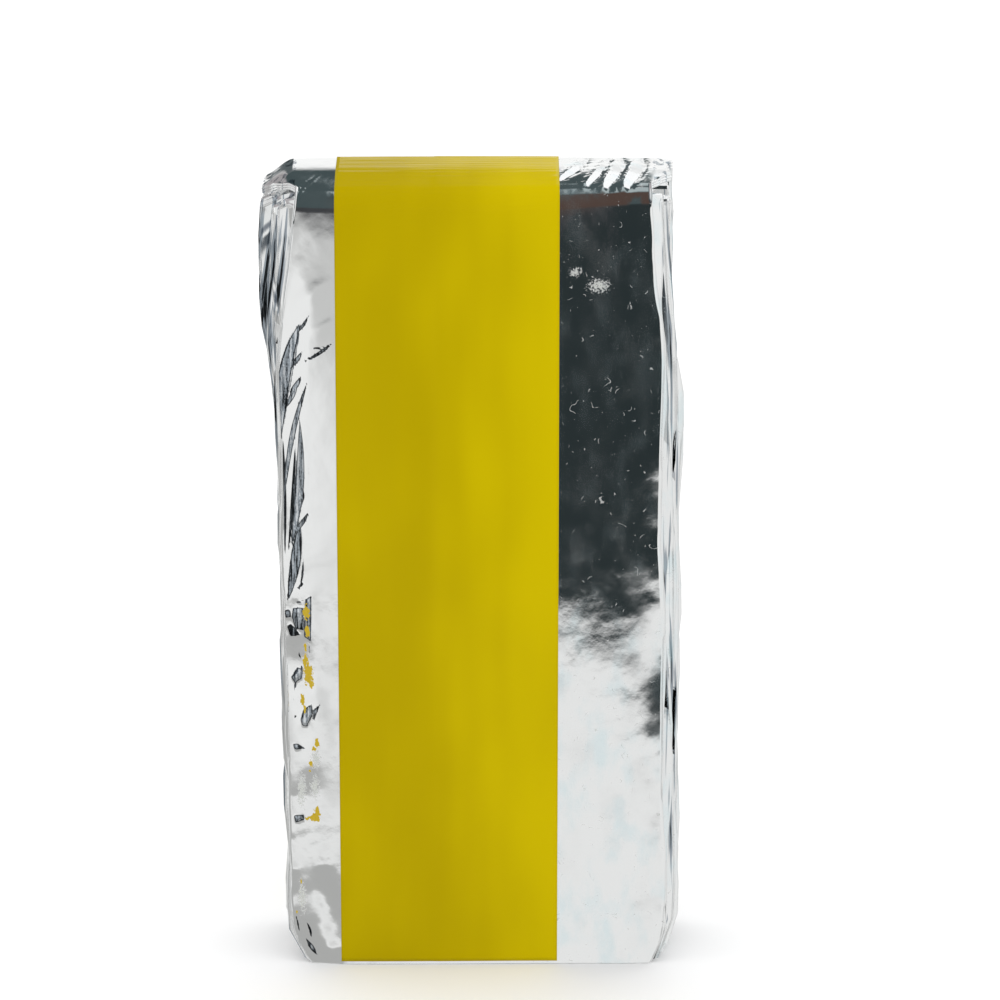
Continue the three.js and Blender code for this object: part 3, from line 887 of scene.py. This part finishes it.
FLOOR_HALF = 3.0
FLOOR_COLOUR = (0.9, 0.9, 0.9)


def floor_piece():
    corners = [(FLOOR_HALF * x, FLOOR_HALF * y, 0) for x, y in ((-1, -1), (1, -1), (1, 1), (-1, 1))]
    mesh = bpy.data.meshes.new("floor")
    mesh.from_pydata(corners, [], [(0, 1, 2, 3)])
    piece = bpy.data.objects.new("floor", mesh)
    bpy.context.scene.collection.objects.link(piece)
    material, shade = principled("pale_floor")
    shade.inputs["Base Color"].default_value = (*FLOOR_COLOUR, 1.0)
    shade.inputs["Roughness"].default_value = 0.6
    mesh.materials.append(material)
    return piece


floor = floor_piece()
floor.visible_glossy = False

CAMERA_PLACE = (0.0059, -1.076, 0.454)
CAMERA_DOWN = 18.0
CAMERA_LENS = 185.9


def camera_piece():
    data = bpy.data.cameras.new("camera")
    data.lens = CAMERA_LENS
    data.sensor_width = 36.0
    camera = bpy.data.objects.new("camera", data)
    camera.location = CAMERA_PLACE
    camera.rotation_euler = (math.radians(90.0 - CAMERA_DOWN), 0.0, 0.0)
    bpy.context.scene.collection.objects.link(camera)
    bpy.context.scene.camera = camera


camera_piece()

# What the film mirrors, by direction in degrees. Side is to the right of straight ahead, and pitch turns
# from the front horizon at 0 over the top at 90 to the horizon behind at 180, with the floor below 0.
# Cards: side from and to, pitch from and to, softness of side and pitch, colour
STUDIO_DARK = (0.024, 0.033, 0.035)
CARDS = [
    # Slate overhead
    (-50, 50, -5, 161, 8, 3, (0.06, 0.083, 0.087)),
    (-60, -0.5, -12, 12, 1, 4, (0.05, 0.052, 0.056)),
    # Warm dark from the front horizon up, and cool light above it
    (-5.0, 3.5, -6, 62, 0.6, 3, (0.085, 0.055, 0.045)),
    (-4.2, 5, 64, 95, 0.6, 6, (0.40, 0.46, 0.47)),
    (-1.5, 5, 112, 146, 0.3, 5, (0.42, 0.48, 0.49)),
    # Softbox overhead to the right
    (2.2, 70, 92, 162, 0.8, 4, (1.1, 1.1, 1.1)),
    # Pale wall behind, with dark doors at the left
    (-90, 90, 161, 200, 3, 5, (1.05, 1.05, 1.04)),
    (-16, -4.5, 158, 180, 1.5, 2, (0.10, 0.12, 0.125)),
    (-50, -16, 158, 180, 2, 3, (0.36, 0.34, 0.345)),
    # Pale room to the left, with dark stripes
    (-90, -22, 20, 158, 3, 6, (0.46, 0.43, 0.44)),
    (-90, -3.5, -90, -7, 1.2, 3.2, (0.62, 0.62, 0.61)),
    (-90, -15, -90, -11, 5, 2, (0.92, 0.92, 0.91)),
    (-36, -30, -90, 60, 1.5, 6, (0.10, 0.115, 0.13)),
    (-48, -41, -90, 60, 2, 6, (0.22, 0.24, 0.27)),
    (-80, -50, -90, 120, 3, 6, (0.85, 0.86, 0.85)),
    # Pale room to the right, with a grey stripe
    (24, 62, -90, 120, 3, 6, (0.95, 0.95, 0.94)),
    (62, 72, -90, 120, 3, 6, (0.5, 0.52, 0.54)),
    (72, 90, -90, 120, 3, 6, (0.85, 0.85, 0.85)),
    # The pale floor close in front
    (-90, 90, -90, -21, 2, 1.2, (0.88, 0.88, 0.87)),
    (-90, -3, -90, -23.3, 2, 0.8, (0.45, 0.45, 0.44)),
    (-90, 90, 200, 270, 2, 4, (0.8, 0.8, 0.79)),
]
OPEN_LIGHT = 1.35


def studio_world():
    world = bpy.data.worlds.new("studio")
    bpy.context.scene.world = world
    world.use_nodes = True
    graph = Graph(world.node_tree)
    background = world.node_tree.nodes["Background"]
    direction = graph.add("ShaderNodeTexCoord").outputs["Generated"]
    x, y, z = graph.add("ShaderNodeSeparateXYZ", {0: direction}).outputs
    side = graph.times(graph.math("ARCSINE", x), math.degrees(1.0))
    turned = graph.times(graph.math("ARCTAN2", z, graph.times(y, -1.0)), math.degrees(1.0))
    pitch = graph.math("WRAP", turned, 270.0, -90.0)
    colour = STUDIO_DARK
    for side_from, side_to, pitch_from, pitch_to, side_soft, pitch_soft, card in CARDS:
        mask = 1.0
        for value, low, high, soft in (
            (side, side_from, side_to, side_soft),
            (pitch, pitch_from, pitch_to, pitch_soft),
        ):
            mask = graph.times(mask, graph.step(value, low - soft, low + soft))
            mask = graph.times(mask, graph.step(value, high + soft, high - soft))
        colour = graph.mix(mask, colour, card)
    rays = graph.add("ShaderNodeLightPath").outputs
    graph.feed(background.inputs["Color"], colour)
    open_light = graph.add("ShaderNodeBackground", {"Color": (1.0, 1.0, 1.0, 1.0), "Strength": OPEN_LIGHT})
    mixed = graph.add("ShaderNodeMixShader", {0: rays["Is Glossy Ray"]})
    graph.feed(mixed.inputs[1], open_light.outputs[0])
    graph.feed(mixed.inputs[2], background.outputs[0])
    output = world.node_tree.nodes["World Output"]
    graph.feed(output.inputs["Surface"], mixed.outputs[0])


studio_world()
bpy.context.scene.view_settings.view_transform = "Standard"
